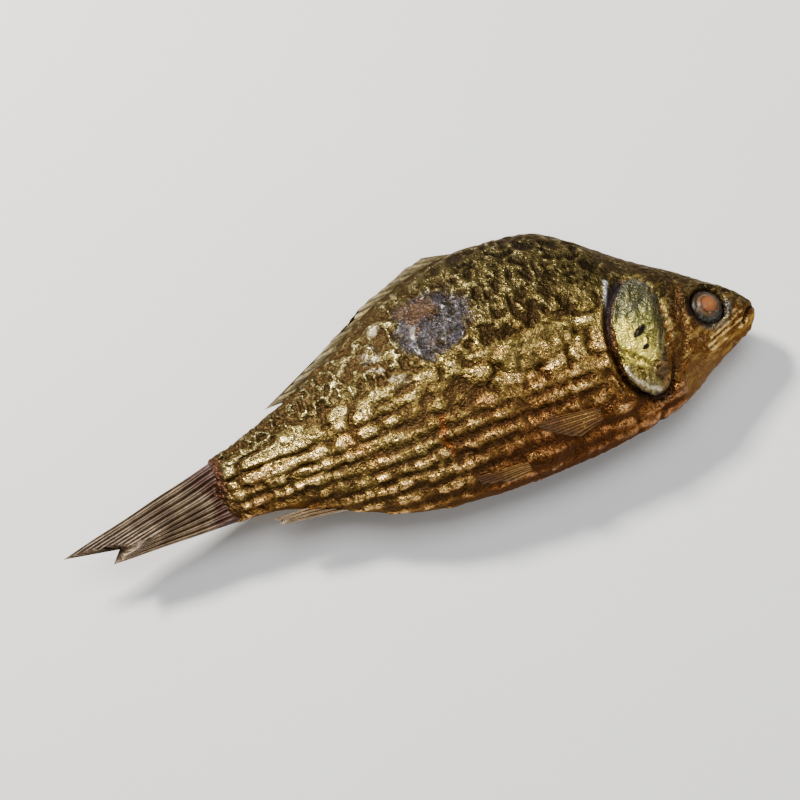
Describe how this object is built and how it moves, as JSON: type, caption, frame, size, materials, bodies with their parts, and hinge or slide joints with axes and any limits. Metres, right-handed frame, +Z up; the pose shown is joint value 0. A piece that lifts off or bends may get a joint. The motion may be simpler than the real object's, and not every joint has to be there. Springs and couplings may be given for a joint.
{
  "type": "smoked fish",
  "caption": "Whole hot-smoked freshwater fish lying on its side, deep scaled body, head with open gill slits, dried fins folded against the flanks.",
  "frame": {"origin": "on the resting plane, under the centre of the bounding box", "axes": "+X towards the snout, +Y towards the back (dorsal side), +Z up out of the right flank, which is the visible one"},
  "size_m": [0.185, 0.0644, 0.0273],
  "materials": {
    "smoked_skin": "oily scaled skin, golden olive-brown with metallic glints",
    "gilded_bone": "glossy golden skin over bone",
    "dried_fin": "dry, satin",
    "cooked_eye": "clouded, glossy"
  },
  "bodies": {
    "root": {"body": "smoked_skin", "dorsal_fin": "dried_fin", "anal_fin": "dried_fin", "tail_fin": "dried_fin", "right_gill_cover": "gilded_bone", "left_gill_cover": "gilded_bone", "right_eye": "cooked_eye", "left_eye": "cooked_eye", "right_pectoral_fin": "dried_fin", "left_pectoral_fin": "dried_fin", "right_pelvic_fin": "dried_fin", "left_pelvic_fin": "dried_fin"}
  },
  "joints": []
}
